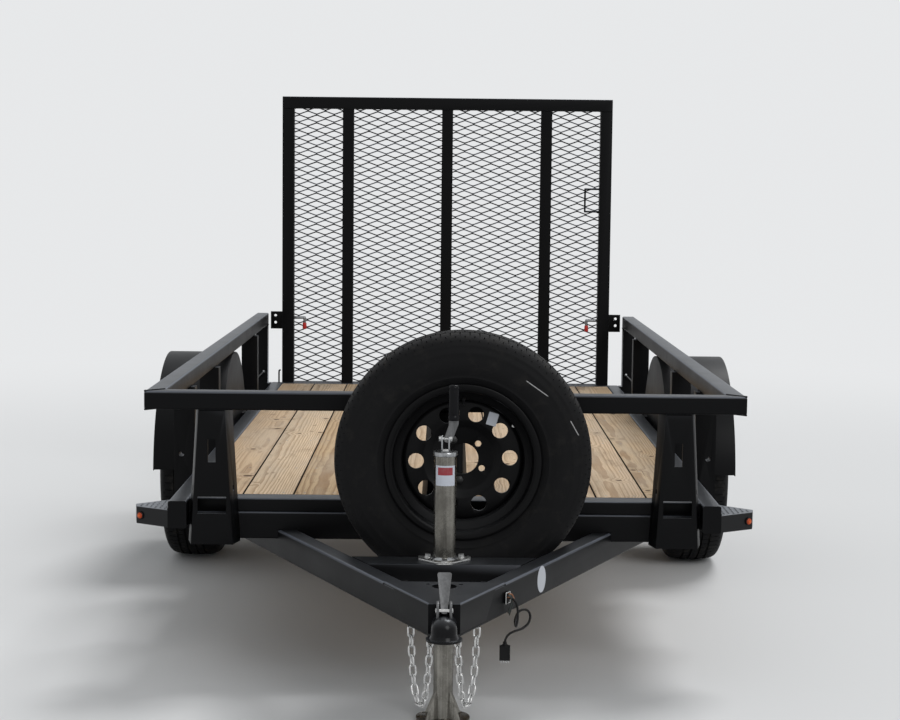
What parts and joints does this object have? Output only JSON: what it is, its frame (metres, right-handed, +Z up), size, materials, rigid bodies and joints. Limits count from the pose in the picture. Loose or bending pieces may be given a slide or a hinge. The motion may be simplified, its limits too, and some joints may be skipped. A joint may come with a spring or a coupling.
{
  "type": "utility trailer",
  "caption": "Single-axle utility trailer with a board deck, tube side rails, fold-down mesh ramp gate, A-frame tongue, ball coupler, drop-leg jack and front spare wheel.",
  "frame": {"origin": "centre of the overall box on the ground", "axes": "+Z up, -Y towards the coupler (forward), +X to the trailer's own left"},
  "size_m": [2.044, 4.055, 1.753],
  "materials": {
    "black_paint": "semi-gloss black powder coat",
    "rim_paint": "satin black",
    "hub_metal": "zinc-plated nuts and cap",
    "spring_steel": "dull black",
    "zinc_plate": "bright zinc plate",
    "pine": "new rough-planed softwood",
    "tyre_rubber": "black rubber",
    "cord_rubber": "black",
    "black_plastic": "moulded black",
    "red_plastic": "dipped red",
    "amber_lens": "amber lens",
    "red_lens": "red lens"
  },
  "bodies": {
    "frame": {"side_rail_left": "black_paint", "side_rail_right": "black_paint", "crossmembers": "black_paint", "front_header": "black_paint", "top_rail_front": "black_paint", "top_rail_left": "black_paint", "top_rail_right": "black_paint", "side_posts_left": "black_paint", "side_posts_right": "black_paint", "corner_upright_left": "black_paint", "corner_upright_right": "black_paint", "centre_upright": "black_paint", "step_wedges": "black_paint", "tongue_rail_left": "black_paint", "tongue_rail_right": "black_paint", "tongue_crossmember": "black_paint", "coupler": "black_paint", "spare_bracket": "black_paint", "fender_left": "black_paint", "fender_right": "black_paint", "axle": "black_paint", "leaf_springs": "spring_steel", "spring_mounts": "black_paint", "gate_hinges": "black_paint", "coupler_lever": "zinc_plate", "jack_body": "zinc_plate", "jack_crank": "zinc_plate", "spare_nuts": "zinc_plate", "safety_chains": "zinc_plate", "deck_boards": "pine", "marker_lamps": "amber_lens", "tail_lamps": "red_lens", "jack_grip": "black_plastic", "spare_tyre": "tyre_rubber", "spare_rim": "rim_paint", "wiring_cord": "cord_rubber", "wiring_plug": "black_plastic", "wiring_grommet": "cord_rubber"},
    "wheel_left": {"wheel_left_tyre": "tyre_rubber", "wheel_left_rim": "rim_paint", "wheel_left_hub": "hub_metal"},
    "wheel_right": {"wheel_right_tyre": "tyre_rubber", "wheel_right_rim": "rim_paint", "wheel_right_hub": "hub_metal"},
    "gate": {"gate_frame": "black_paint", "gate_mesh": "black_paint", "gate_latches": "zinc_plate", "gate_latch_caps": "red_plastic", "gate_handle": "black_paint"},
    "jack_leg": {"jack_leg": "zinc_plate"}
  },
  "joints": [
    {"name": "wheel_left_spin", "type": "hinge", "parent": "frame", "child": "wheel_left", "pos_m": [0.915, 0.7075, 0.344], "axis": [1, 0, 0], "continuous": true},
    {"name": "wheel_right_spin", "type": "hinge", "parent": "frame", "child": "wheel_right", "pos_m": [-0.915, 0.7075, 0.344], "axis": [1, 0, 0], "continuous": true},
    {"name": "gate_swing", "type": "hinge", "parent": "frame", "child": "gate", "pos_m": [0, 2.0125, 0.435], "axis": [-1, 0, 0], "range_deg": [0, 108]},
    {"name": "jack_leg_slide", "type": "slide", "parent": "frame", "child": "jack_leg", "axis": [0, 0, 1], "range_m": [-0.05, 0.25]}
  ]
}
